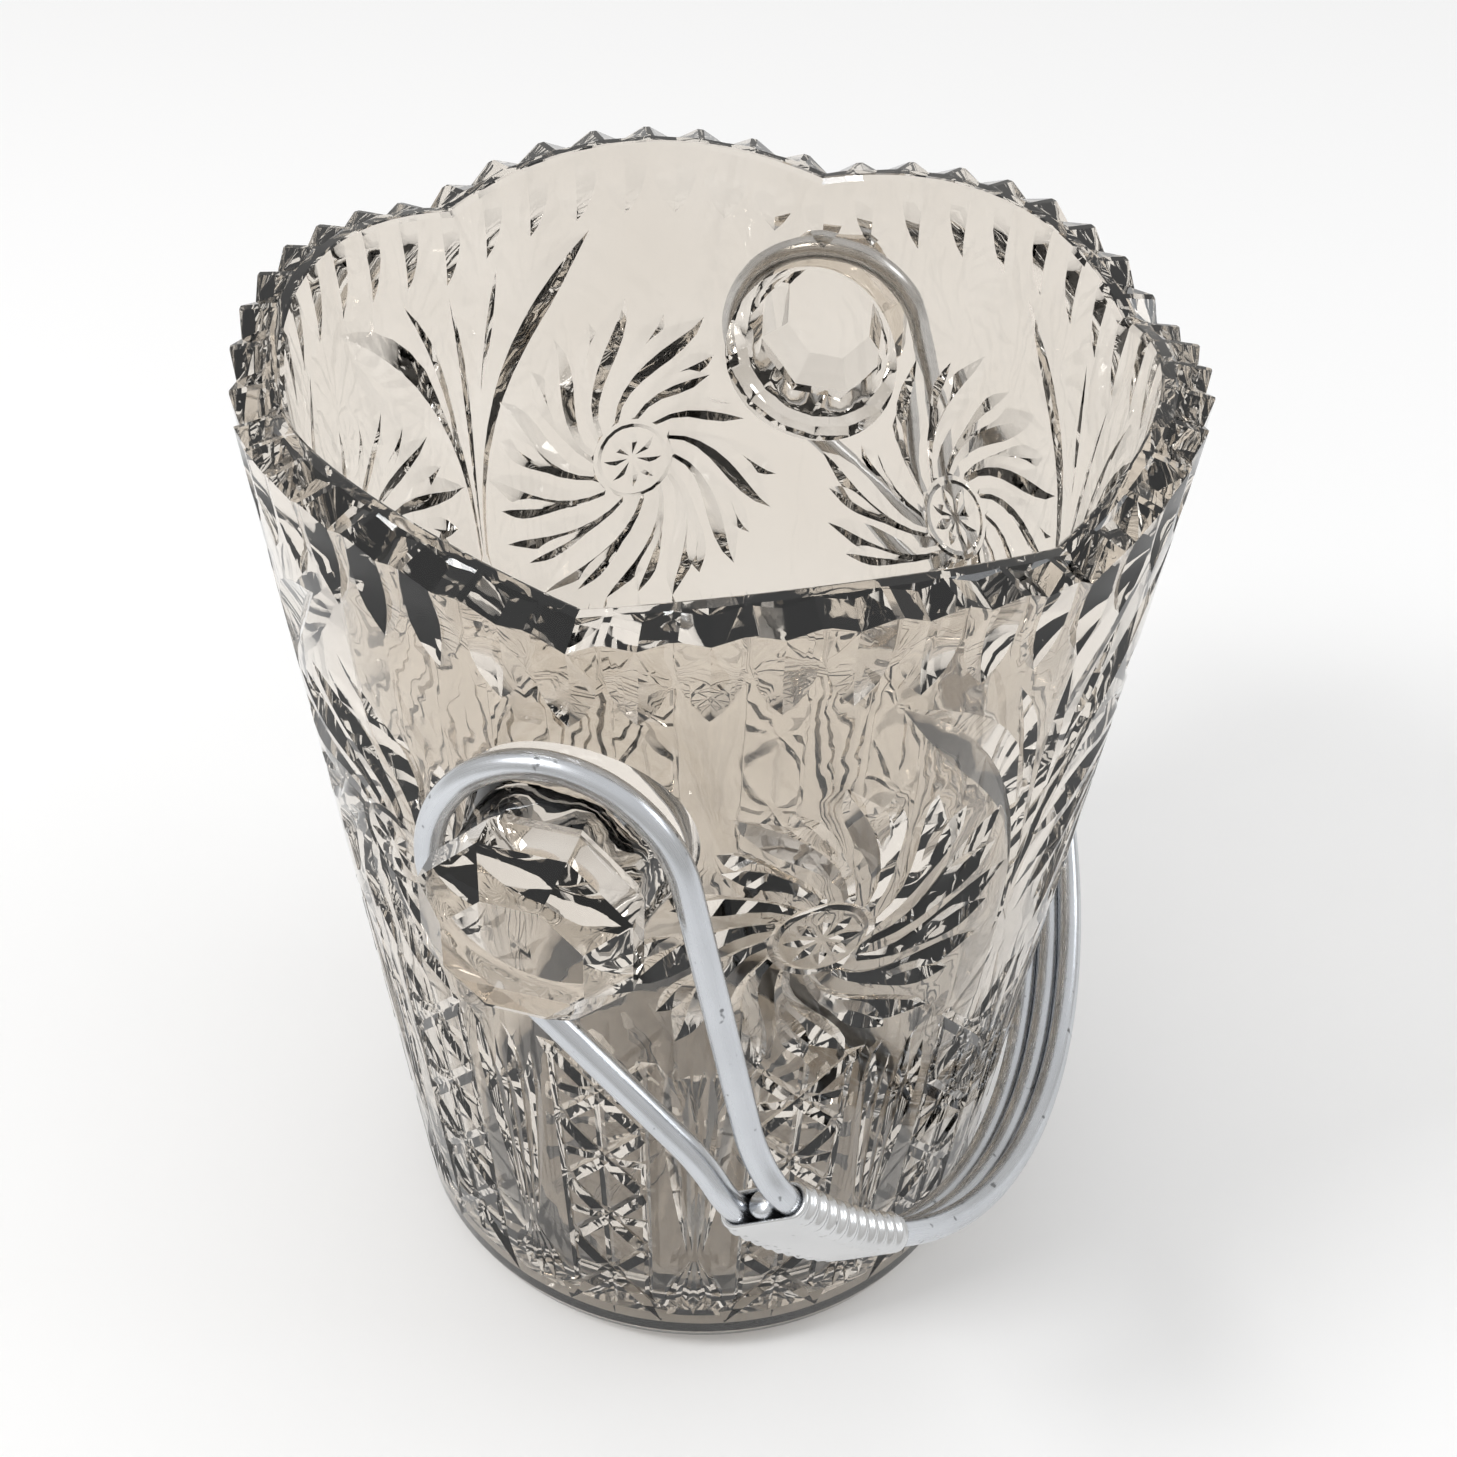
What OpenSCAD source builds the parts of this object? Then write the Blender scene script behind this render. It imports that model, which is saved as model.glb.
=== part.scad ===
// Cut-glass ice bucket with a swinging three-wire handle.
// Millimetres. +Z is up, the origin is the centre of the base, and the two knobs lie on the X axis.

/* [Bucket] */

// Height from the rest surface to the top of a rim lobe
bucket_h = 182; // [150:1:220]
// Outer radius at the rim
rim_r = 73; // [60:0.5:85]
// Outer radius that the straight wall would reach at the base
foot_r = 53.7; // [45:0.1:65]
// Wall thickness at the rim
wall_t = 8; // [4:0.25:10]
// Thickness of the floor
floor_t = 10; // [6:0.5:16]
// Radius of the rounded corner between wall and base
corner_r = 8; // [3:0.5:14]
// Radius of the shallow hollow under the base
punt_r = 38; // [20:1:44]
// Depth of the shallow hollow under the base
punt_depth = 2; // [0.5:0.25:4]

/* [Rim] */

// Number of arched lobes round the rim
lobes = 6; // [4:1:10]
// How far the rim drops from the top of a lobe to the notch between two lobes
lobe_drop = 5.4; // [2:0.2:10]
// Saw teeth on each lobe
teeth_per_lobe = 8; // [4:1:12]
// Depth of the notches between the teeth
tooth_depth = 1.1; // [0.6:0.1:3]
// Downward slope of the notches, in degrees
tooth_slope = 17; // [10:1:30]
// Width of the smooth band inside the teeth
rim_band = 2.4; // [1:0.1:4]

/* [Knobs] */

// Height of the knob axis, which the handle swings about
knob_z = 141; // [120:1:160]
// Radius of the knob head, across its corners
head_r = 15.9; // [10:0.1:20]
// Distance from the bucket axis to the back of the knob head
head_back = 81; // [75:0.5:90]
// Length of the knob head along its axis
head_len = 13; // [8:0.5:20]
// Radius of the flat front facet
table_r = 9.5; // [4:0.5:14]
// Radius of the neck where it meets the wall
neck_r_wall = 17; // [10:0.1:20]
// Radius of the neck where it meets the head
neck_r_head = 13.6; // [8:0.1:18]

/* [Handle] */

// Diameter of the handle wire
wire_d = 4.2; // [3:0.1:6]
// Distance between the centres of two neighbouring wires
wire_pitch = 4.4; // [3.2:0.1:7]
// Radius of the bow that the three wires follow
bow_r = 90; // [85:0.5:110]
// Distance from the swing axis to the top of the bow
bow_reach = 118; // [105:0.5:140]
// Distance from the swing axis to the mouth of a ferrule, along the handle
mouth_reach = 60; // [50:0.5:70]
// Radius of the kink where the wires leave a ferrule
kink_r = 12; // [8:0.5:20]
// Outward lean of the two arms of an eye, in degrees
arm_tilt = 7.2; // [4:0.1:10]
// Radius of the eye that hangs on a knob, to the centre of the wire
eye_r = 18.9; // [16:0.1:24]
// Distance from the swing axis to the centre of an eye
eye_shift = 1; // [0:0.1:3]
// Radius of the bend of an arm, just before the ferrule
arm_bend_r = 30; // [15:1:60]
// Angle between the resting handle and straight down, in degrees
hang_angle = 33; // [30:0.1:40]
// How far the middle wire shows in the mouth of a ferrule, in degrees of the bow
stub_angle = 0.8; // [0:0.1:2]

/* [Ferrules] */

// Length of a ferrule, in degrees of the bow
ferrule_angle = 18; // [10:0.5:25]
// Thickness of the ferrule's sheet
ferrule_t = 0.7; // [0.4:0.05:1.2]
// Play between a wire and the ferrule
ferrule_play = 0.15; // [0.05:0.05:0.3]
// How far the flat sides of a ferrule lie below the crowns of its round edges
side_dip = 0.1; // [0.05:0.05:0.2]
// Number of crimp ribs on each edge
ribs = 10; // [6:1:14]
// Height of a crimp rib
rib_h = 0.5; // [0.2:0.05:1]

/* [Hidden] */

$fn = 96;

taper = (rim_r - foot_r) / bucket_h;
inner_foot_r = foot_r + taper * floor_t - wall_t;
inner_corner_r = 7;
notch_z = bucket_h - lobe_drop;
lobe_angle = 360 / lobes;
// A lobe is an arc over its chord, so its radius follows from the drop at its two ends.
lobe_half_chord = rim_r * sin(lobe_angle / 2);
lobe_r = (lobe_half_chord * lobe_half_chord + lobe_drop * lobe_drop) / (2 * lobe_drop);
teeth = lobes * teeth_per_lobe;
tooth_pitch = 2 * PI * rim_r / teeth;

bow_c = bow_reach - bow_r;
mouth_angle = asin((mouth_reach - bow_c) / bow_r);
kink_x = -(bow_r - kink_r) * cos(mouth_angle);
kink_z = bow_c + (bow_r - kink_r) * sin(mouth_angle);
arm_end_x = kink_x - kink_r * cos(arm_tilt);
arm_end_z = kink_z - kink_r * sin(arm_tilt);
// The arms of an eye lie in a leaning plane, which crosses the swing axis here.
eye_x = arm_end_x + arm_end_z * tan(arm_tilt);
arm_end = arm_end_z / cos(arm_tilt);
// An arm is a straight tangent that crosses from the eye's circle to the bend's circle.
bend_dx = arm_end - eye_shift;
bend_dy = wire_pitch + arm_bend_r;
bend_dist = sqrt(bend_dx * bend_dx + bend_dy * bend_dy);
arm_angle = asin((eye_r + arm_bend_r) / bend_dist) - atan2(bend_dy, bend_dx);
arm_len = sqrt(bend_dist * bend_dist - (eye_r + arm_bend_r) * (eye_r + arm_bend_r));

glass_colour = [0.86, 0.85, 0.80, 0.45];
metal_colour = [0.80, 0.81, 0.83];

// Radius of the straight outer wall at a height.
function wall_r(z) = foot_r + taper * z;

// Points on a quarter circle that ends a straight stretch, from straight down to straight out.
function corner_points(centre_r, centre_z, r) = [
    for (angle = [-90 : 15 : 0])
        [centre_r + r * cos(angle), centre_z + r * sin(angle)]
];

// Half of the bucket's outline: outside minus inside and the hollow under the base.
module bucket_section() {
    difference() {
        polygon(concat(
            [[0, 0]],
            corner_points(wall_r(corner_r) - corner_r, corner_r, corner_r),
            [[rim_r, bucket_h], [0, bucket_h]]
        ));
        polygon(concat(
            [[0, floor_t]],
            corner_points(inner_foot_r - inner_corner_r, floor_t + inner_corner_r, inner_corner_r),
            [[rim_r - wall_t + taper, bucket_h + 1], [0, bucket_h + 1]]
        ));
        polygon([[0, -1], [punt_r, -1], [punt_r - punt_depth, punt_depth], [0, punt_depth]]);
    }
}

// The space under the arched tops of the lobes.
module lobe_envelope() {
    cylinder(r = rim_r + 10, h = notch_z - 1);
    for (i = [0 : lobes - 1])
        rotate([0, 0, (i + 0.5) * lobe_angle])
            translate([0, 0, bucket_h - lobe_r])
                rotate([0, 90, 0])
                    cylinder(r = lobe_r, h = rim_r + 10);
}

// Height of the rim at an angle round the bucket.
function rim_z(angle) =
    let (from_middle = abs(angle % lobe_angle - lobe_angle / 2),
         off = rim_r * sin(from_middle))
    bucket_h - lobe_r + sqrt(lobe_r * lobe_r - off * off);

// One notch between two teeth: a V that runs outward and downward from the smooth band.
module tooth_notch(angle) {
    half = tooth_pitch / 2;
    rotate([0, 0, angle])
        translate([rim_r - wall_t + rim_band, 0, rim_z(angle) - 0.2])
            rotate([0, tooth_slope, 0])
                rotate([90, 0, 90])
                    linear_extrude(height = wall_t + 2)
                        polygon([[0, -tooth_depth], [2 * half, 3 * tooth_depth], [-2 * half, 3 * tooth_depth]]);
}

// A knob: a tapering neck and an eight-sided head with a flat front facet, along +X.
module knob() {
    girdle = head_back + 3;
    girdle_end = head_back + 8;
    intersection() {
        rotate([0, 90, 0])
            rotate_extrude()
                polygon([
                    [0, wall_r(knob_z) - 3],
                    [neck_r_wall, wall_r(knob_z) - 3],
                    [neck_r_head, head_back],
                    [head_r + 0.8, girdle],
                    [head_r + 0.8, girdle_end],
                    [table_r, head_back + head_len],
                    [0, head_back + head_len]
                ]);
        union() {
            rotate([0, 90, 0])
                cylinder(r = neck_r_wall + 2, h = head_back);
            rotate([0, 90, 0])
                rotate([0, 0, 22.5])
                    cylinder(r = head_r, h = head_back + head_len + 1, $fn = 8);
        }
    }
}

module glass_bucket() {
    color(glass_colour) {
        difference() {
            intersection() {
                rotate([0, 0, lobe_angle / 2])
                    rotate_extrude()
                        bucket_section();
                lobe_envelope();
            }
            for (i = [0 : teeth - 1])
                tooth_notch(i * 360 / teeth);
        }
        for (side = [0, 180])
            rotate([0, 0, side])
                translate([0, 0, knob_z])
                    knob();
    }
}

// Places the handle, which is drawn standing up from the swing axis, in its resting pose.
module hang() {
    translate([0, 0, knob_z])
        rotate([180 - hang_angle, 0, 0])
            children();
}

// A piece of wire bent round a circle in the XY plane.
module wire_arc(radius, from, sweep) {
    rotate([0, 0, from])
        rotate_extrude(angle = sweep)
            translate([radius, 0])
                circle(d = wire_d, $fn = 48);
}

// Draws its children in the plane of the bow, with +X to the right and +Y up the handle.
module bow_plane(offset) {
    translate([0, offset, 0])
        rotate([90, 0, 0])
            children();
}

// A short collar a hair wider than the wire, which joins the two runs that meet at a point.
module collar(x, y, direction) {
    translate([x, y, 0])
        rotate([0, 90, direction])
            cylinder(d = wire_d + 0.1, h = 0.8, center = true, $fn = 48);
}

// Draws its children in the leaning plane of the left eye, with +X up the handle.
module eye_plane() {
    translate([eye_x, 0, 0])
        rotate([0, -90 - arm_tilt, 0])
            children();
}

// The run from the left end of one strand of the bow to the eye: a kink, a bend and a straight arm.
module arm() {
    tangent_x = eye_shift + eye_r * sin(arm_angle);
    tangent_y = eye_r * cos(arm_angle);
    bow_plane(wire_pitch) {
        translate([kink_x, kink_z])
            wire_arc(kink_r, 180 - mouth_angle, mouth_angle + arm_tilt);
        collar(-bow_r * cos(mouth_angle), mouth_reach, 90 - mouth_angle);
    }
    eye_plane() {
        collar(arm_end, wire_pitch, 0);
        translate([arm_end, wire_pitch + arm_bend_r])
            wire_arc(arm_bend_r, 270 - arm_angle, arm_angle);
        collar(tangent_x + arm_len * cos(arm_angle), tangent_y - arm_len * sin(arm_angle), -arm_angle);
        translate([tangent_x, tangent_y])
            rotate([0, 90, -arm_angle])
                cylinder(d = wire_d, h = arm_len, $fn = 48);
        collar(tangent_x, tangent_y, -arm_angle);
    }
}

// One length of wire, bent into both outer strands and both eyes. Its ends meet inside a ferrule.
module outer_wire() {
    color(metal_colour)
        hang() {
            for (strand = [-1, 1])
                bow_plane(strand * wire_pitch)
                    translate([0, bow_c])
                        wire_arc(bow_r, mouth_angle, 180 - 2 * mouth_angle);
            for (flip_x = [0, 1])
                mirror([flip_x, 0, 0]) {
                    eye_plane()
                        translate([eye_shift, 0])
                            wire_arc(eye_r, 90 - arm_angle, 180 + 2 * arm_angle);
                    for (flip_y = [0, 1])
                        mirror([0, flip_y, 0])
                            arm();
                }
        }
}

module centre_wire() {
    color(metal_colour)
        hang()
            bow_plane(0)
                translate([0, bow_c])
                    wire_arc(bow_r, mouth_angle - stub_angle, 180 - 2 * (mouth_angle - stub_angle));
}

// Flat oval round the three wires: a round edge at a distance from each outer wire, and flat sides.
module wires_oval(distance) {
    r = wire_d / 2 + distance;
    translate([bow_r, 0]) {
        square([2 * (r - side_dip), 2 * wire_pitch], center = true);
        for (side = [-1, 1])
            translate([0, side * wire_pitch])
                circle(r = r, $fn = 48);
    }
}

// The rounded edges of the ferrule, raised by a rib's height.
module rib_section() {
    r = wire_d / 2 + ferrule_play + ferrule_t + rib_h;
    for (side = [-1, 1])
        translate([bow_r, side * (wire_pitch + 0.3)])
            intersection() {
                circle(r = r, $fn = 48);
                translate([0, side * r / 2])
                    square([2 * r + 1, r], center = true);
            }
}

// A ferrule on the right-hand side of the bow, open at both ends.
module ferrule() {
    rib_pitch = ferrule_angle / (ribs + 0.5);
    hang()
        bow_plane(0)
            translate([0, bow_c])
                difference() {
                    union() {
                        rotate([0, 0, mouth_angle])
                            rotate_extrude(angle = ferrule_angle)
                                wires_oval(ferrule_play + ferrule_t);
                        for (i = [0 : ribs - 1])
                            rotate([0, 0, mouth_angle + (i + 0.5) * rib_pitch])
                                rotate_extrude(angle = rib_pitch / 2)
                                    rib_section();
                    }
                    rotate([0, 0, mouth_angle - 2])
                        rotate_extrude(angle = ferrule_angle + 4)
                            wires_oval(ferrule_play);
                }
}

module ferrule_right() {
    color(metal_colour)
        ferrule();
}

module ferrule_left() {
    color(metal_colour)
        mirror([1, 0, 0])
            ferrule();
}

glass_bucket();
outer_wire();
centre_wire();
ferrule_left();
ferrule_right();
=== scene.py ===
"""Cut-glass ice bucket with a swinging wire handle. Lengths in the functions are in millimetres."""

import math

import bmesh
import bpy
import numpy as np
from mathutils import Matrix, Vector
from mathutils.geometry import delaunay_2d_cdt


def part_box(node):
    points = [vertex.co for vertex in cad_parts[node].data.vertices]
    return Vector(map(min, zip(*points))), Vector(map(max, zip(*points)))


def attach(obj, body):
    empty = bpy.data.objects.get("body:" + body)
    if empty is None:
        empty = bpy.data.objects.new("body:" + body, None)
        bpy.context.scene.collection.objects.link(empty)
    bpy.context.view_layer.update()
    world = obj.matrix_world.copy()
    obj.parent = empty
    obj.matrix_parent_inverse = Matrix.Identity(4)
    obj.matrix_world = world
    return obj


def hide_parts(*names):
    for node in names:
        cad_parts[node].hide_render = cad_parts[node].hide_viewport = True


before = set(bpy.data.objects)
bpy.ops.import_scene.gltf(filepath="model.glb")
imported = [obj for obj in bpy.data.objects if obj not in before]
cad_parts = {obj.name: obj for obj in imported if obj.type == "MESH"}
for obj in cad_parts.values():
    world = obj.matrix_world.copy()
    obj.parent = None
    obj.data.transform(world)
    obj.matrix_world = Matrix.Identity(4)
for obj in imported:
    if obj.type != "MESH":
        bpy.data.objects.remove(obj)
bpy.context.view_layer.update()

MM = 0.001

# ---------------------------------------------------------------- sizes
glass_low, glass_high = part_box("glass_bucket")
HEIGHT = glass_high[2] / MM
RIM_R = glass_high[1] / MM
KNOB_END = glass_high[0] / MM
FOOT_R = 53.7
WALL_T = 8.0
FLOOR_T = 10.0
CORNER_R = 8.0
PUNT_R = 38.0
PUNT_DEPTH = 2.0
TAPER = (RIM_R - FOOT_R) / HEIGHT
LEAN = math.atan(TAPER)

LOBES = 6
LOBE_DROP = 5.4
TEETH = 48
TOOTH_ANGLE = 360 / TEETH
NOTCH_DROP = 2.9
TOOTH_DROP = 0.9
BAND_R = 67.4

KNOB_Z = 141.0
NECK_R = 17.0
KNOB_POINTS = 48
HEAD_LEN = 13.0
HEAD_R = 15.85
HEAD_NECK_R = 13.9
TABLE_R = 10.4

INNER_CORNER_R = 7.0
STAR_POINTS = 24

# The wall is drawn unrolled: across is the angle times this radius, up is the height.
UNROLL_R = 66.0
WALL_BOTTOM = 9.5
MEDALLION_Z = 119.0


def wall_r(z):
    """Outer radius of the plain wall at a height."""
    return FOOT_R + TAPER * z


def across(degrees):
    """Distance across the unrolled wall at an angle round the bucket."""
    return math.radians(degrees) * UNROLL_R


def rim_z(theta):
    """Height of the rim at an angle in radians."""
    half_lobe = math.pi / LOBES
    chord = RIM_R * math.sin(half_lobe)
    arc_r = (chord * chord + LOBE_DROP * LOBE_DROP) / (2 * LOBE_DROP)
    off = RIM_R * math.sin(abs(theta % (2 * half_lobe) - half_lobe))
    return HEIGHT - arc_r + math.sqrt(arc_r * arc_r - off * off)


def add_piece(name, bm, material, sharp=None):
    """Turns a finished mesh into a smooth-shaded object, with edges over an angle in degrees kept sharp."""
    mesh = bpy.data.meshes.new(name)
    bm.to_mesh(mesh)
    bm.free()
    mesh.shade_smooth()
    if sharp:
        mesh.set_sharp_from_angle(angle=math.radians(sharp))
    mesh.materials.append(material)
    piece = bpy.data.objects.new(name, mesh)
    bpy.context.scene.collection.objects.link(piece)
    return piece


# ---------------------------------------------------------------- cuts in the unrolled wall
class Cut:
    """A V-shaped groove: the points of its spine, with half its width and the slope of its sides at each."""

    def __init__(self, spine, half, slope=0.45):
        self.spine = np.array(spine, float)
        self.half = np.broadcast_to(np.array(half, float), len(self.spine)).copy()
        self.slope = np.broadcast_to(np.array(slope, float), len(self.spine)).copy()

    def side(self, sign):
        """The edge of the groove on one side of its spine."""
        run = np.gradient(self.spine, axis=0)
        run /= np.linalg.norm(run, axis=1)[:, None]
        out = np.stack([-run[:, 1], run[:, 0]], axis=1)
        return self.spine + sign * self.half[:, None] * out

    def depth_at(self, points, margin=0.0):
        """How deep the groove is at some points, or less than zero beside it."""
        deepest = np.full(len(points), -1.0)
        for i in range(len(self.spine) - 1):
            a, b = self.spine[i], self.spine[i + 1]
            t = np.clip((points - a) @ (b - a) / ((b - a) @ (b - a)), 0, 1)
            away = np.linalg.norm(points - a - t[:, None] * (b - a), axis=1)
            half = self.half[i] + (self.half[i + 1] - self.half[i]) * t + margin
            slope = self.slope[i] + (self.slope[i + 1] - self.slope[i]) * t
            deepest = np.maximum(deepest, slope * (half - away))
        return deepest


def bezier(points, samples):
    """Points along the curve that a few control points shape."""
    t = np.linspace(0, 1, samples)[:, None]
    rows = [np.array(p, float)[None, :] * np.ones((samples, 1)) for p in points]
    while len(rows) > 1:
        rows = [a * (1 - t) + b * t for a, b in zip(rows, rows[1:])]
    return rows[0]


def leaf_widths(samples, width, fullest, start):
    """Half widths of a leaf: narrow at its start, fullest at a share of its length, pointed at its tip."""
    t = np.linspace(0, 1, samples)
    rise = np.clip(t / fullest, 0, 1)
    fall = np.clip((t - fullest) / (1 - fullest), 0, 1)
    return width / 2 * (start + (1 - start) * rise * rise * (3 - 2 * rise)) * (1 - fall ** 1.8)


def leaf(points, width, fullest=0.6, start=0.15, slope=0.45, samples=9):
    """A leaf-shaped cut along the curve that some control points shape."""
    return Cut(bezier(points, samples), leaf_widths(samples, width, fullest, start), slope)


def spiral_leaf(centre, r_start, r_tip, tip_angle, swirl, width):
    """A leaf that leaves a medallion's button at a slant and straightens towards its tip."""
    samples = 9
    t = np.linspace(0, 1, samples)
    r = r_start + (r_tip - r_start) * t
    angle = np.radians(tip_angle - swirl * (1 - t) ** 1.5)
    spine = np.stack([centre[0] + r * np.cos(angle), centre[1] + r * np.sin(angle)], axis=1)
    return Cut(spine, leaf_widths(samples, width, 0.62, 0.3), 0.56)


def medallion(centre):
    """A pinwheel of long and short leaves round a button with an eight-leaved star."""
    cuts = []
    pairs = 13
    for i in range(pairs):
        angle = 360 * i / pairs + 6
        cuts.append(spiral_leaf(centre, 8.6, 31.2 + 1.2 * math.sin(2.4 * i), angle, 50, 6.0))
        cuts.append(spiral_leaf(centre, 15.5, 29.2, angle + 180 / pairs, 20, 4.3))
    ring = np.radians(np.arange(0, 361, 15))
    ring_spine = np.stack([centre[0] + 7.3 * np.cos(ring), centre[1] + 7.3 * np.sin(ring)], axis=1)
    cuts.append(Cut(ring_spine, 0.8))
    for i in range(8):
        turn = math.radians(45 * i)
        ends = [(centre[0] + r * math.cos(turn), centre[1] + r * math.sin(turn)) for r in (0.9, 5.9)]
        cuts.append(leaf(ends, 2.2, fullest=0.5, start=0.0, samples=5))
    return cuts


def clear_of_knob(cut, knob_s):
    """Ends a leaf where it would run into the neck of a knob, and points it there."""
    away = np.hypot(cut.spine[:, 0] - knob_s, cut.spine[:, 1] - KNOB_Z)
    free = away > NECK_R + 1.6
    if free.all():
        return cut
    if free.sum() < 4:
        return None
    keep = np.flatnonzero(free)
    if free[0]:
        keep = keep[keep < np.flatnonzero(~free)[0]]
    else:
        keep = keep[keep > np.flatnonzero(~free)[-1]]
    if len(keep) < 4:
        return None
    short = Cut(cut.spine[keep], cut.half[keep], cut.slope[keep])
    if free[0]:
        short.half[-1] = 0.0
        short.half[-2] *= 0.7
    else:
        short.half[0] = 0.0
        short.half[1] *= 0.7
    return short


def fan(middle, with_knob):
    """The spray of leaves under the notch between two lobes."""
    cuts = []
    for side in (-1, 1):
        big = [(0.7, 108), (1.0, 138), (12, 152), (28, 164.5)]
        cuts.append(leaf([(middle + side * s, z) for s, z in big], 8.2, 0.7, 0.12, 0.49, 13))
        if not with_knob:
            inner = [(1.6, 122), (3.2, 138), (5, 150), (10.3, 161.5)]
            cuts.append(leaf([(middle + side * s, z) for s, z in inner], 3.4, 0.7, 0.2, 0.54))
    if not with_knob:
        cuts.append(leaf([(middle, 112), (middle, 159)], 3.2, 0.68, 0.2, 0.54))
    return cuts


def rim_flute(degrees):
    """The upright groove that runs off the rim at a notch and ends in a point below."""
    top = rim_z(math.radians(degrees))
    tip = top - 15.2
    heights = [tip, tip + 1.6, tip + 3.6, tip + 6.2, tip + 9.5, top - NOTCH_DROP, top + 3]
    halves = [0.0, 1.5, 2.7, 3.6, 3.95, 4.05, 4.05]
    slopes = [0.43, 0.43, 0.42, 0.37, 0.29, 0.19, 0.19]
    return Cut([(across(degrees), z) for z in heights], halves, slopes)


def crossed_column(middle):
    """An upright panel of crossed cuts that leave rows of small pyramids."""
    half = 7.9
    low, high, rise = 15.0, 87.0, 18.0
    cuts = [Cut([(middle + x, low + 3), (middle + x, high - 1)], 0.85) for x in (-half, half)]
    cuts.append(Cut([(middle, low), (middle, high)], 0.9))
    for i in range(4):
        z = low + rise * (i + 0.5)
        for side in (-1, 1):
            ends = [(middle - side * half, z - rise / 2), (middle + side * half, z + rise / 2)]
            cuts.append(Cut(ends, 1.7, 0.43))
        cuts.append(Cut([(middle - half, z), (middle + half, z)], 1.2, 0.43))
    return cuts


def flute_panel(middle):
    """Four long upright cuts that close in downward, over a small spray of leaves."""
    cuts = []
    for top_s, top_z in ((-5.1, 86), (-1.75, 79), (1.75, 86), (5.1, 82)):
        line = [(middle + top_s, top_z), (middle + top_s * 0.72, 58), (middle + top_s * 0.3, 34)]
        cuts.append(leaf(line, 3.9, 0.18, 0.25, 0.45, 9))
    for tip_s, tip_z in ((-6.2, 18), (-3.4, 14), (0, 12.6), (3.4, 14), (6.2, 18)):
        line = [(middle + tip_s * 0.12, 31), (middle + tip_s * 0.5, 24), (middle + tip_s, tip_z)]
        cuts.append(leaf(line, 3.0, 0.6, 0.2, 0.45, 6))
    return cuts


def wall_cuts():
    """Every cut on half the bucket, with what reaches in from beyond its two edges."""
    cuts = []
    for lobe in range(-2, 4):
        cuts += medallion((across(lobe * 60 + 30), MEDALLION_Z))
    for notch in range(-1, 4):
        cuts += fan(across(notch * 60), notch % 3 == 0)
    trimmed = []
    for cut in cuts:
        for knob in (0, 180):
            cut = cut and clear_of_knob(cut, across(knob))
        if cut:
            trimmed.append(cut)
    for i in range(-6, 23):
        trimmed.append(rim_flute(i * TOOTH_ANGLE))
    for i in range(-2, 7):
        trimmed += crossed_column(across(i * 30))
        trimmed += flute_panel(across(i * 30 + 15))
    return trimmed


# ---------------------------------------------------------------- the glass mesh
def knob_circle():
    """Where the neck of a knob meets the unrolled wall, as points on the wall."""
    points = []
    for i in range(KNOB_POINTS):
        turn = 2 * math.pi * i / KNOB_POINTS
        z = KNOB_Z + NECK_R * math.sin(turn)
        points.append((UNROLL_R * math.asin(NECK_R * math.cos(turn) / wall_r(z)), z))
    return points


class Drawing:
    """Points and lines for the triangulation of the unrolled wall."""

    def __init__(self):
        self.points = []
        self.lines = []

    def chain(self, points, closed=False):
        """Adds a line through some points."""
        first = len(self.points)
        self.points += [Vector((float(p[0]), float(p[1]))) for p in points]
        self.lines += [(first + i, first + i + 1) for i in range(len(points) - 1)]
        if closed:
            self.lines.append((first + len(points) - 1, first))

    def cut(self, cut):
        """Adds the spine and both edges of a groove."""
        self.chain(cut.spine)
        for sign in (-1, 1):
            self.chain(cut.side(sign))


def top_line(first, last):
    """The zigzag of teeth and notches along the top of the wall, between two angles."""
    points = []
    for i in range(round(first / TOOTH_ANGLE), round(last / TOOTH_ANGLE) + 1):
        notch = math.radians(i * TOOTH_ANGLE)
        points.append((notch * UNROLL_R, rim_z(notch) - NOTCH_DROP))
        for degrees in ((i + 0.5) * TOOTH_ANGLE - 0.45, (i + 0.5) * TOOTH_ANGLE + 0.45):
            tooth = math.radians(degrees)
            points.append((tooth * UNROLL_R, rim_z(tooth) - TOOTH_DROP))
    return points[:-2]


def open_grid(cuts, s0, s1, steps):
    """A staggered grid of points over the plain parts of the wall, away from every groove."""
    grid = np.array([
        (s0 + (s1 - s0) * (i + 0.5 * (j % 2)) / steps, WALL_BOTTOM + 5 * j)
        for i in range(steps)
        for j in range(1, 35)
        if i + j % 2 > 0
    ])
    free = np.ones(len(grid), bool)
    for cut in cuts:
        free &= cut.depth_at(grid, 0.9) <= 0
    return [Vector(p) for p in grid[free].tolist()]


def on_the_wall(flat, triangles, s0, s1, top):
    """Which triangles belong to the wall: under the teeth, outside the neck, and not slivers."""
    middle = flat[triangles].mean(axis=1)
    top_s, top_z = np.array(top).T
    keep = (middle[:, 0] > s0) & (middle[:, 0] < s1) & (middle[:, 1] > WALL_BOTTOM)
    keep &= middle[:, 1] < np.interp(middle[:, 0], top_s, top_z)
    # The neck's outline is a little wider than high on the wall, so each point is tested on the bucket.
    y = wall_r(middle[:, 1]) * np.sin(middle[:, 0] / UNROLL_R)
    in_neck = np.hypot(y, middle[:, 1] - KNOB_Z) < NECK_R * math.cos(math.pi / KNOB_POINTS)
    keep &= ~(in_neck & (np.abs(middle[:, 0]) < across(40)))
    a, b, c = (flat[triangles[:, i]] for i in range(3))
    area = np.abs((b[:, 0] - a[:, 0]) * (c[:, 1] - a[:, 1]) - (b[:, 1] - a[:, 1]) * (c[:, 0] - a[:, 0]))
    return keep & (area > 1e-7)


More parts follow.
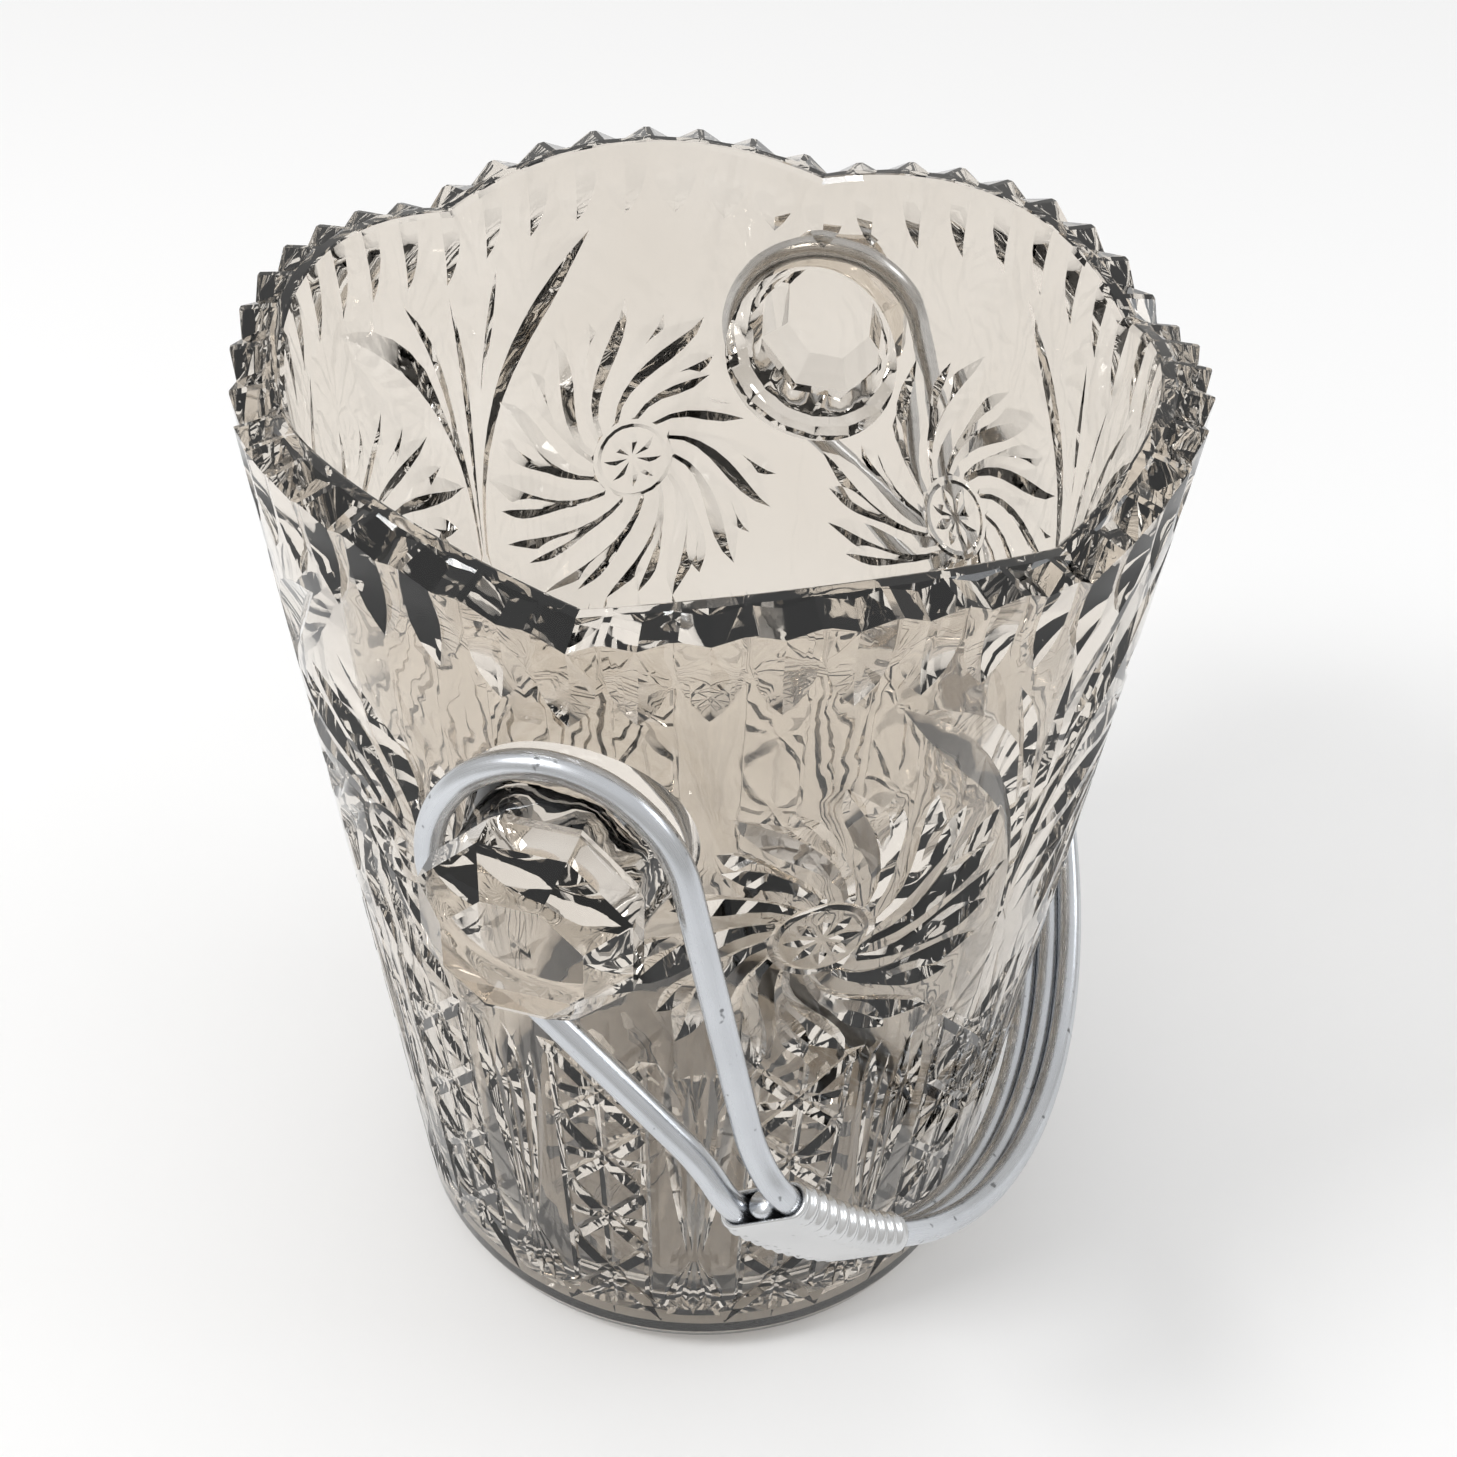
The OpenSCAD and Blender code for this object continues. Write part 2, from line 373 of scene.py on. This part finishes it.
def depths(flat, cuts):
    """How deep the deepest groove is at each point."""
    depth = np.zeros(len(flat))
    for cut in cuts:
        reach = cut.half.max() + 0.5
        low, high = cut.spine.min(axis=0) - reach, cut.spine.max(axis=0) + reach
        near = np.flatnonzero(((flat > low) & (flat < high)).all(axis=1))
        if len(near):
            depth[near] = np.maximum(depth[near], cut.depth_at(flat[near]))
    return depth


def wall_patch(cuts, first, last):
    """Half the outer wall: unrolled points with their depths, and triangles."""
    s0, s1 = across(first), across(last)
    drawing = Drawing()
    for cut in cuts:
        drawing.cut(cut)
    top = top_line(first, last)
    circle = knob_circle()
    drawing.chain(top)
    drawing.chain(circle, closed=True)
    steps = round((last - first) / 3)
    drawing.chain([(s0 + (s1 - s0) * i / steps, WALL_BOTTOM) for i in range(steps + 1)])
    for s in (s0, s1):
        drawing.chain([(s, z) for z in np.linspace(WALL_BOTTOM, top[0][1], 36)])
    drawing.points += open_grid(cuts, s0, s1, steps)
    points, _, faces, _, _, _ = delaunay_2d_cdt(drawing.points, drawing.lines, [], 0, 1e-4)
    flat = np.array([(p[0], p[1]) for p in points])
    triangles = np.array(faces)
    return flat, depths(flat, cuts), triangles[on_the_wall(flat, triangles, s0, s1, top)]


def on_bucket(s, z, depth, turn=0.0):
    """The point on the bucket, in millimetres, of a point on the unrolled wall."""
    angle = s / UNROLL_R + turn
    r = wall_r(z) - depth * math.cos(LEAN)
    return Vector((r * math.cos(angle), r * math.sin(angle), z + depth * math.sin(LEAN)))


def ring_fill(bm, lower, upper):
    """Joins two rings of the same number of points with quads."""
    n = len(lower)
    for i in range(n):
        quad = (lower[i], lower[(i + 1) % n], upper[(i + 1) % n], upper[i])
        bm.faces.new(quad)


def turned_ring(bm, angles, r, z):
    """A ring of points at some angles; the radius and height may be functions of the angle."""
    ring = []
    for a in angles:
        radius = r(a) if callable(r) else r
        height = z(a) if callable(z) else z
        ring.append(bm.verts.new((radius * math.cos(a), radius * math.sin(a), height)))
    return ring


def boundary_rings(bm):
    """The open edges of the wall, as loops of points."""
    bm.edges.index_update()
    # Kept by index, so that the rings come in the same order on every run.
    open_edges = {e.index: e for e in bm.edges if e.is_boundary}
    loops = []
    while open_edges:
        edge = open_edges.pop(min(open_edges))
        loop = [edge.verts[0], edge.verts[1]]
        while True:
            step = [e for e in loop[-1].link_edges if e.index in open_edges]
            if not step:
                break
            del open_edges[step[0].index]
            loop.append(step[0].other_vert(loop[-1]))
        if loop[-1] is loop[0]:
            loop.pop()
        loops.append(loop)
    return loops


def angle_of(vert):
    return math.atan2(vert.co.y, vert.co.x) % (2 * math.pi)


def sorted_round(loop):
    return sorted(loop, key=angle_of)


def notch_share(angle):
    """1 at a notch between teeth, 0 at the top of a tooth."""
    step = math.radians(TOOTH_ANGLE)
    off = abs((angle + step / 2) % step - step / 2) / (step / 2)
    return max(0.0, 1 - off * 1.25)


def close_top(bm, rim):
    """The sloping tops of the teeth, the smooth band inside them, and the inner wall down to the floor."""
    angles = [angle_of(v) for v in rim]
    band = turned_ring(bm, angles, BAND_R, lambda a: rim_z(a) - 0.05 - 0.95 * notch_share(a))
    ledge = turned_ring(bm, angles, BAND_R - 0.5, lambda a: rim_z(a) - 0.15 * notch_share(a))
    inner_top = RIM_R - WALL_T
    lip = turned_ring(bm, angles, inner_top + 0.5, rim_z)
    edge = turned_ring(bm, angles, inner_top + 0.1, lambda a: rim_z(a) - 0.15)
    rings = [rim, band, ledge, lip, edge]
    for share in (0.006, 0.12, 0.25, 0.4, 0.55, 0.7, 0.85, 1.0):
        low = FLOOR_T + INNER_CORNER_R
        height = lambda a, share=share: rim_z(a) * (1 - share) + low * share
        radius = lambda a, height=height: wall_r(height(a)) - WALL_T
        rings.append(turned_ring(bm, angles, radius, height))
    foot = wall_r(FLOOR_T + INNER_CORNER_R) - WALL_T - INNER_CORNER_R
    for degrees in (22.5, 45, 67.5, 90):
        turn = math.radians(degrees)
        radius = foot + INNER_CORNER_R * math.cos(turn)
        height = FLOOR_T + INNER_CORNER_R - INNER_CORNER_R * math.sin(turn)
        rings.append(turned_ring(bm, angles, radius, height))
    rings.append(turned_ring(bm, angles, 20, FLOOR_T))
    for lower, upper in zip(rings, rings[1:]):
        ring_fill(bm, lower, upper)
    centre = bm.verts.new((0, 0, FLOOR_T))
    last = rings[-1]
    for i in range(len(last)):
        bm.faces.new((last[i], last[(i + 1) % len(last)], centre))


def close_base(bm, foot):
    """The rounded foot, the rest ring, and the star cut in the hollow under the base."""
    angles = [angle_of(v) for v in foot]
    rings = [foot]
    centre_r = wall_r(CORNER_R) - CORNER_R
    for degrees in (12, 30, 48, 68, 90):
        turn = math.radians(degrees)
        rings.append(turned_ring(
            bm, angles, centre_r + CORNER_R * math.cos(turn), CORNER_R - CORNER_R * math.sin(turn)))
    rings.append(turned_ring(bm, angles, PUNT_R, 0))
    rings.append(turned_ring(bm, angles, PUNT_R - 1.5, PUNT_DEPTH))
    for lower, upper in zip(rings, rings[1:]):
        ring_fill(bm, lower, upper)
    tips = rings[-1]
    step = 2 * math.pi / STAR_POINTS
    valley_share = lambda a: 1 - 2 * abs((a / step) % 1 - 0.5)
    star = turned_ring(bm, angles, 33, PUNT_DEPTH)
    inner = turned_ring(bm, angles, 12, lambda a: PUNT_DEPTH + 0.3 + 1.9 * valley_share(a))
    ring_fill(bm, tips, star)
    ring_fill(bm, star, inner)
    centre = bm.verts.new((0, 0, PUNT_DEPTH + 2.4))
    for i in range(len(inner)):
        bm.faces.new((inner[i], inner[(i + 1) % len(inner)], centre))


def octagon(radius, turn):
    """Distance to the side of an eight-sided outline with a flat top."""
    part = math.pi / 8
    return radius * math.cos(part) / math.cos((turn + part) % (2 * part) - part)


def close_knob(bm, loop, side):
    """The flaring neck and the faceted head of one knob."""
    def turn_of(vert):
        return math.atan2(vert.co.z - KNOB_Z, side * vert.co.y) % (2 * math.pi)

    loop = sorted(loop, key=turn_of)
    turns = [turn_of(v) for v in loop]
    rings = [loop]

    def ring(x, radius):
        made = []
        for vert, turn in zip(loop, turns):
            r = radius(turn)
            px = x(vert)
            made.append(bm.verts.new((side * px, side * r * math.cos(turn), KNOB_Z + r * math.sin(turn))))
        rings.append(made)

    back = KNOB_END - HEAD_LEN
    for share, radius in ((0.25, 15.6), (0.5, 14.6), (0.75, HEAD_NECK_R)):
        ring(lambda v, f=share: abs(v.co.x) * (1 - f) + back * f, lambda t, r=radius: r)
    ring(lambda v: back, lambda t: octagon(HEAD_NECK_R, t))
    ring(lambda v: back + 3.2, lambda t: octagon(HEAD_R, t))
    ring(lambda v: back + 8.0, lambda t: octagon(HEAD_R, t))
    ring(lambda v: KNOB_END, lambda t: octagon(TABLE_R, t))
    for lower, upper in zip(rings, rings[1:]):
        ring_fill(bm, lower, upper)
    bm.faces.new(rings[-1])


def glass_bucket(material):
    """The whole cut-glass bucket as one closed mesh."""
    cuts = wall_cuts()
    flat, depth, triangles = wall_patch(cuts, -30, 150)
    bm = bmesh.new()
    used = np.unique(triangles)
    for half in (0, 1):
        made = {
            i: bm.verts.new(on_bucket(flat[i, 0], flat[i, 1], depth[i], half * math.pi))
            for i in used.tolist()
        }
        for a, b, c in triangles.tolist():
            bm.faces.new((made[a], made[b], made[c]))
    bmesh.ops.remove_doubles(bm, verts=bm.verts[:], dist=0.002)
    for loop in boundary_rings(bm):
        heights = [v.co.z for v in loop]
        if max(heights) < 15:
            close_base(bm, sorted_round(loop))
        elif min(heights) > 165:
            close_top(bm, sorted_round(loop))
        elif len(loop) >= KNOB_POINTS:
            close_knob(bm, loop, 1 if loop[0].co.x > 0 else -1)
    bmesh.ops.recalc_face_normals(bm, faces=bm.faces[:])
    open_edges = sum(not e.is_manifold for e in bm.edges)
    print("glass bucket:", len(bm.verts), "points,", len(bm.faces), "faces,", open_edges, "open edges")
    bmesh.ops.scale(bm, vec=(MM, MM, MM), verts=bm.verts[:])
    return add_piece("cut_glass", bm, material, sharp=13)


# ---------------------------------------------------------------- the handle
WIRE_D = 4.2
WIRE_PITCH = 4.4
BOW_STEP = 1.6
BOW_R = 90.0
BOW_C = 28.0
MOUTH_REACH = 60.0
KINK_R = 12.0
ARM_TILT = math.radians(7.2)
EYE_R = 18.9
EYE_SHIFT = 1.0
BEND_R = 30.0
HANG = math.radians(33.0)
STUB = math.radians(0.8)
FERRULE_ANGLE = math.radians(18)
MOUTH = math.asin((MOUTH_REACH - BOW_C) / BOW_R)

HANG_MATRIX = Matrix.Translation((0, 0, KNOB_Z)) @ Matrix.Rotation(math.pi - HANG, 4, "X")


def arc(centre, radius, start, end, spacing):
    """Points along an arc in a plane, from one angle to another."""
    count = max(2, round(abs(end - start) * radius / spacing) + 1)
    angles = np.linspace(start, end, count)
    return [(centre[0] + radius * math.cos(a), centre[1] + radius * math.sin(a)) for a in angles]


def quarter_path():
    """The left half of one strand, from the top of the bow to the outermost point of the left eye."""
    points = [(x, WIRE_PITCH, z) for x, z in arc((0, BOW_C), BOW_R, math.pi / 2, math.pi - MOUTH, BOW_STEP)]
    kink = (-(BOW_R - KINK_R) * math.cos(MOUTH), BOW_C + (BOW_R - KINK_R) * math.sin(MOUTH))
    bend = arc(kink, KINK_R, math.pi - MOUTH, math.pi + ARM_TILT, 0.8)
    points += [(x, WIRE_PITCH, z) for x, z in bend[1:]]
    arm_x, arm_z = bend[-1]
    eye_x = arm_x + arm_z * math.tan(ARM_TILT)
    arm_end = arm_z / math.cos(ARM_TILT)
    dx, dy = arm_end - EYE_SHIFT, WIRE_PITCH + BEND_R
    far = math.hypot(dx, dy)
    slant = math.asin((EYE_R + BEND_R) / far) - math.atan2(dy, dx)
    flat = arc((arm_end, WIRE_PITCH + BEND_R), BEND_R, math.radians(270), math.radians(270) - slant, 1.2)
    tangent = (EYE_SHIFT + EYE_R * math.sin(slant), EYE_R * math.cos(slant))
    straight = np.linspace(flat[-1], tangent, 24)
    flat += [tuple(p) for p in straight[1:]]
    flat += arc((EYE_SHIFT, 0), EYE_R, math.pi / 2 - slant, math.pi, 1.0)[1:]
    tilt = Matrix.Rotation(-math.pi / 2 - ARM_TILT, 3, "Y")
    for u, v in flat[1:]:
        at = tilt @ Vector((u, v, 0))
        points.append((at.x + eye_x, at.y, at.z))
    return points


def outer_wire_path():
    """The closed loop of wire that makes both outer strands and both eyes."""
    quarter = quarter_path()
    left = quarter + [(x, -y, z) for x, y, z in reversed(quarter[:-1])]
    right = [(-x, y, z) for x, y, z in reversed(left)]
    loop = left[:-1] + right[:-1]
    return [HANG_MATRIX @ Vector(p) for p in loop]


def tube(name, path, radius, closed, material, sides=20, cap_round=0.5):
    """A wire along a path, with its length and turn kept as a UV map for the scratches."""
    count = len(path)
    tangents = []
    for i in range(count):
        before = path[(i - 1) % count] if closed or i > 0 else path[i]
        after = path[(i + 1) % count] if closed or i < count - 1 else path[i]
        tangents.append((after - before).normalized())
    side = tangents[0].orthogonal().normalized()
    frames = []
    for i in range(count):
        side = (side - tangents[i] * side.dot(tangents[i])).normalized()
        frames.append((side.copy(), tangents[i].cross(side)))
    # A closed path comes back turned by some angle, which is spread along its length.
    twist = 0.0
    if closed:
        back = (side - tangents[0] * side.dot(tangents[0])).normalized()
        twist = math.atan2(back.dot(frames[0][1]), back.dot(frames[0][0]))
    rows = []
    stations = [(i, radius, 0.0) for i in range(count)]
    if not closed:
        stations = [(0, radius - cap_round, 0.0), (0, radius, cap_round)] + stations[1:-1]
        stations += [(count - 1, radius, -cap_round), (count - 1, radius - cap_round, 0.0)]
    bm = bmesh.new()
    for i, r, shift in stations:
        a, b = frames[i]
        back_turn = -twist * i / count
        row = []
        for k in range(sides):
            turn = 2 * math.pi * k / sides + back_turn
            at = path[i] + tangents[i] * shift + (a * math.cos(turn) + b * math.sin(turn)) * r
            row.append(bm.verts.new(at * MM))
        rows.append(row)
    uv = bm.loops.layers.uv.new("wire")
    length = [0.0]
    for i in range(1, len(rows)):
        length.append(length[-1] + (path[stations[i][0]] - path[stations[i - 1][0]]).length)
    spans = len(rows) if closed else len(rows) - 1
    for i in range(spans):
        j = (i + 1) % len(rows)
        ends = (length[i], length[j] if j else length[i] + BOW_STEP)
        for k in range(sides):
            m = (k + 1) % sides
            face = bm.faces.new((rows[i][k], rows[i][m], rows[j][m], rows[j][k]))
            corners = ((ends[0], k), (ends[0], k + 1), (ends[1], k + 1), (ends[1], k))
            for loop, (u, v) in zip(face.loops, corners):
                loop[uv].uv = (u / 10, v / sides)
    if not closed:
        bm.faces.new(rows[0])
        bm.faces.new(rows[-1])
    bmesh.ops.recalc_face_normals(bm, faces=bm.faces[:])
    return add_piece(name, bm, material, sharp=50)


def ferrule_outline(distance, samples):
    """Flat oval round the three wires, as (out, along the row of wires, share onto a round edge)."""
    r = WIRE_D / 2 + distance
    points = []
    for side in (1, -1):
        for i in range(samples):
            angle = math.pi * i / (samples - 1)
            out = r * math.cos(angle) * side
            along = side * (WIRE_PITCH + r * math.sin(angle))
            points.append((out, along, math.sin(angle)))
        for i in range(1, 6):
            share = i / 6
            points.append((-side * r, side * WIRE_PITCH * (1 - 2 * share), 0.0))
    return points


def ferrule(name, flip, material):
    """A crimped sleeve: round corrugations on its two edges, smooth faces, and a rolled lip at each end."""
    sheet = 0.75
    play = 0.12
    ribs = 10
    rib_pitch = FERRULE_ANGLE / (ribs + 0.5)
    bm = bmesh.new()
    steps = ribs * 12 + 6
    stations = []
    for i in range(steps + 1):
        share = i / steps
        stations.append((MOUTH + FERRULE_ANGLE * share, share))

    def row(angle, distance, rib):
        made = []
        for out, along, edge in ferrule_outline(distance, 13):
            grow = rib * min(1.0, max(0.0, (edge - 0.12) / 0.45))
            norm = math.hypot(out, max(0.0, abs(along) - WIRE_PITCH)) or 1.0
            o = out * (1 + grow / norm)
            w = along + math.copysign(max(0.0, abs(along) - WIRE_PITCH) * grow / norm, along)
            r = BOW_R + o
            x = r * math.cos(angle)
            z = BOW_C + r * math.sin(angle)
            at = HANG_MATRIX @ Vector((-x if flip else x, w, z))
            made.append(bm.verts.new(at * MM))
        return made

    outer = []
    for angle, share in stations:
        along = (angle - MOUTH) / rib_pitch - 0.25
        wave = 0.5 - 0.5 * math.cos(2 * math.pi * along) if 0 < along < ribs else 0.0
        lip = min(share, 1 - share) * FERRULE_ANGLE * BOW_R
        flare = 0.22 * max(0.0, 1 - lip / 0.9)
        outer.append(row(angle, play + sheet, 0.62 * wave + flare))
    first_in = row(MOUTH - 0.0035, play + sheet * 0.55, 0.1)
    last_in = row(MOUTH + FERRULE_ANGLE + 0.0035, play + sheet * 0.55, 0.1)
    inner_ends = [row(angle, play, 0.0) for angle, share in stations[::6]]
    rows = [first_in] + outer + [last_in] + inner_ends[::-1]
    for lower, upper in zip(rows, rows[1:] + rows[:1]):
        ring_fill(bm, lower, upper)
    bmesh.ops.recalc_face_normals(bm, faces=bm.faces[:])
    return add_piece(name, bm, material)


# ---------------------------------------------------------------- materials
def new_material(name):
    material = bpy.data.materials.new(name)
    material.use_nodes = True
    nodes = material.node_tree.nodes
    links = material.node_tree.links
    nodes.clear()
    output = nodes.new("ShaderNodeOutputMaterial")
    shader = nodes.new("ShaderNodeBsdfPrincipled")
    links.new(shader.outputs["BSDF"], output.inputs["Surface"])
    return material, nodes, links, shader


def noise(nodes, links, vector, scale, detail=3.0, roughness=0.5):
    node = nodes.new("ShaderNodeTexNoise")
    node.inputs["Scale"].default_value = scale
    node.inputs["Detail"].default_value = detail
    node.inputs["Roughness"].default_value = roughness
    links.new(vector, node.inputs["Vector"])
    return node


def ramp(nodes, links, value, stops):
    node = nodes.new("ShaderNodeValToRGB")
    elements = node.color_ramp.elements
    while len(elements) < len(stops):
        elements.new(0.5)
    for element, (position, colour) in zip(elements, stops):
        element.position = position
        element.color = (*colour, 1)
    links.new(value, node.inputs["Fac"])
    return node


def grey(value):
    return (value, value, value)


def glass_material():
    """Clear pressed glass: a warm grey tint, faint waves from the mould and a little wear."""
    material, nodes, links, shader = new_material("cut_glass")
    place = nodes.new("ShaderNodeTexCoord").outputs["Object"]
    tint = noise(nodes, links, place, 28.0, 2.0)
    tints = ((0.3, (0.76, 0.705, 0.635)), (0.7, (0.81, 0.76, 0.695)))
    colours = ramp(nodes, links, tint.outputs["Fac"], tints)
    links.new(colours.outputs["Color"], shader.inputs["Base Color"])
    shader.inputs["Transmission Weight"].default_value = 1.0
    shader.inputs["IOR"].default_value = 1.53
    wear = noise(nodes, links, place, 160.0, 4.0, 0.65)
    rough = ramp(nodes, links, wear.outputs["Fac"], ((0.45, grey(0.0)), (0.8, grey(0.06))))
    links.new(rough.outputs["Color"], shader.inputs["Roughness"])
    waves = noise(nodes, links, place, 95.0, 2.0, 0.4)
    bump = nodes.new("ShaderNodeBump")
    bump.inputs["Strength"].default_value = 0.1
    bump.inputs["Distance"].default_value = 0.0006
    links.new(waves.outputs["Fac"], bump.inputs["Height"])
    links.new(bump.outputs["Normal"], shader.inputs["Normal"])
    return material


def wire_material(name, stretch, tone):
    """Bright drawn aluminium: fine lines along the wire, rubbed patches, and a few dark nicks."""
    material, nodes, links, shader = new_material(name)
    coordinates = nodes.new("ShaderNodeTexCoord")
    place = coordinates.outputs["Object"]
    along = nodes.new("ShaderNodeMapping")
    along.inputs["Scale"].default_value = stretch
    links.new(coordinates.outputs["UV"], along.inputs["Vector"])
    lines = noise(nodes, links, along.outputs["Vector"], 1.0, 5.0, 0.6)
    patches = noise(nodes, links, place, 70.0, 3.0)
    nicks = noise(nodes, links, place, 420.0, 2.0)
    base = ramp(nodes, links, patches.outputs["Fac"], ((0.3, tuple(0.86 * c for c in tone)), (0.7, tone)))
    marks = ramp(nodes, links, nicks.outputs["Fac"], ((0.26, grey(0.35)), (0.31, grey(1.0))))
    blend = nodes.new("ShaderNodeMix")
    blend.data_type = "RGBA"
    blend.blend_type = "MULTIPLY"
    blend.inputs["Factor"].default_value = 1.0
    links.new(base.outputs["Color"], blend.inputs["A"])
    links.new(marks.outputs["Color"], blend.inputs["B"])
    links.new(blend.outputs["Result"], shader.inputs["Base Color"])
    shader.inputs["Metallic"].default_value = 1.0
    rough = ramp(nodes, links, lines.outputs["Fac"], ((0.3, grey(0.17)), (0.7, grey(0.33))))
    links.new(rough.outputs["Color"], shader.inputs["Roughness"])
    bump = nodes.new("ShaderNodeBump")
    bump.inputs["Strength"].default_value = 0.25
    bump.inputs["Distance"].default_value = 0.0001
    links.new(lines.outputs["Fac"], bump.inputs["Height"])
    links.new(bump.outputs["Normal"], shader.inputs["Normal"])
    return material


# ---------------------------------------------------------------- building
glass = glass_bucket(glass_material())
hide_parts("glass_bucket")
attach(glass, "bucket")

aluminium = wire_material("drawn_aluminium", (1.2, 34.0, 1.0), (0.62, 0.64, 0.67))
loop_wire = tube("handle_wire_outer", outer_wire_path(), WIRE_D / 2, True, aluminium)
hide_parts("outer_wire")
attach(loop_wire, "handle")

centre_arc = arc((0, BOW_C), BOW_R, MOUTH - STUB, math.pi - MOUTH + STUB, BOW_STEP)
centre_path = [HANG_MATRIX @ Vector((x, 0, z)) for x, z in centre_arc]
middle_wire = tube("handle_wire_centre", centre_path, WIRE_D / 2, False, aluminium)
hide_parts("centre_wire")
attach(middle_wire, "handle")

sleeve_metal = wire_material("ferrule_aluminium", (30.0, 60.0, 1.0), (0.68, 0.685, 0.69))
for side_name, flip in (("left", True), ("right", False)):
    sleeve = ferrule("crimped_ferrule_" + side_name, flip, sleeve_metal)
    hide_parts("ferrule_" + side_name)
    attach(sleeve, "handle")


# ---------------------------------------------------------------- floor, light and camera
def floor():
    """A wide, plain, pale floor."""
    mesh = bpy.data.meshes.new("floor")
    size = 4.0
    mesh.from_pydata(
        [(-size, -size, 0), (size, -size, 0), (size, size, 0), (-size, size, 0)], [], [(0, 1, 2, 3)])
    material, _, _, shader = new_material("floor")
    shader.inputs["Base Color"].default_value = (0.93, 0.93, 0.93, 1)
    shader.inputs["Roughness"].default_value = 0.9
    mesh.materials.append(material)
    ground = bpy.data.objects.new("floor", mesh)
    bpy.context.scene.collection.objects.link(ground)


def area_light(name, location, target, size, power, colour=(1, 1, 1)):
    light = bpy.data.lights.new(name, "AREA")
    light.shape = "RECTANGLE"
    light.size, light.size_y = size
    light.energy = power
    light.color = colour
    lamp = bpy.data.objects.new(name, light)
    lamp.location = location
    lamp.rotation_euler = (Vector(target) - Vector(location)).to_track_quat("-Z", "Y").to_euler()
    bpy.context.scene.collection.objects.link(lamp)


def sky():
    """Soft light from all round: bright overhead, warmer and darker near the horizon."""
    world = bpy.data.worlds.new("studio")
    world.use_nodes = True
    nodes, links = world.node_tree.nodes, world.node_tree.links
    background = nodes["Background"]
    place = nodes.new("ShaderNodeTexCoord").outputs["Generated"]
    split = nodes.new("ShaderNodeSeparateXYZ")
    links.new(place, split.inputs["Vector"])
    stops = (
        (0.0, (0.76, 0.75, 0.73)),
        (0.2, (0.78, 0.77, 0.75)),
        (0.5, (0.88, 0.87, 0.86)),
        (0.7, (1.0, 1.0, 1.0)),
        (1.0, (1.0, 1.0, 1.0)),
    )
    colours = ramp(nodes, links, split.outputs["Z"], stops)
    links.new(colours.outputs["Color"], background.inputs["Color"])
    background.inputs["Strength"].default_value = 0.85
    bpy.context.scene.world = world


def set_camera():
    """The camera, a little above the rim on the side of the left knob."""
    camera_data = bpy.data.cameras.new("camera")
    camera_data.sensor_width = 36.0
    camera_data.lens = 52.2
    camera_data.clip_start = 0.01
    camera = bpy.data.objects.new("camera", camera_data)
    camera.location = (-0.26817, -0.07226, 0.33869)
    aim = Vector((0.00078, -0.00308, 0.10448))
    facing = (aim - camera.location).to_track_quat("-Z", "Y").to_matrix()
    camera.rotation_euler = (facing @ Matrix.Rotation(math.radians(2.05), 3, "Z")).to_euler()
    bpy.context.scene.collection.objects.link(camera)
    bpy.context.scene.camera = camera


floor()
sky()
set_camera()
area_light("key", (-0.5, 0.6, 0.95), (0, 0, 0.09), (0.3, 0.3), 5.0)
area_light("fill", (0.3, -0.9, 0.8), (0, 0, 0.09), (0.6, 0.3), 2.0, (0.92, 0.96, 1.0))
bpy.context.scene.view_settings.view_transform = "Standard"
bpy.context.scene.cycles.max_bounces = 24
bpy.context.scene.cycles.transmission_bounces = 24

bpy.context.view_layer.update()
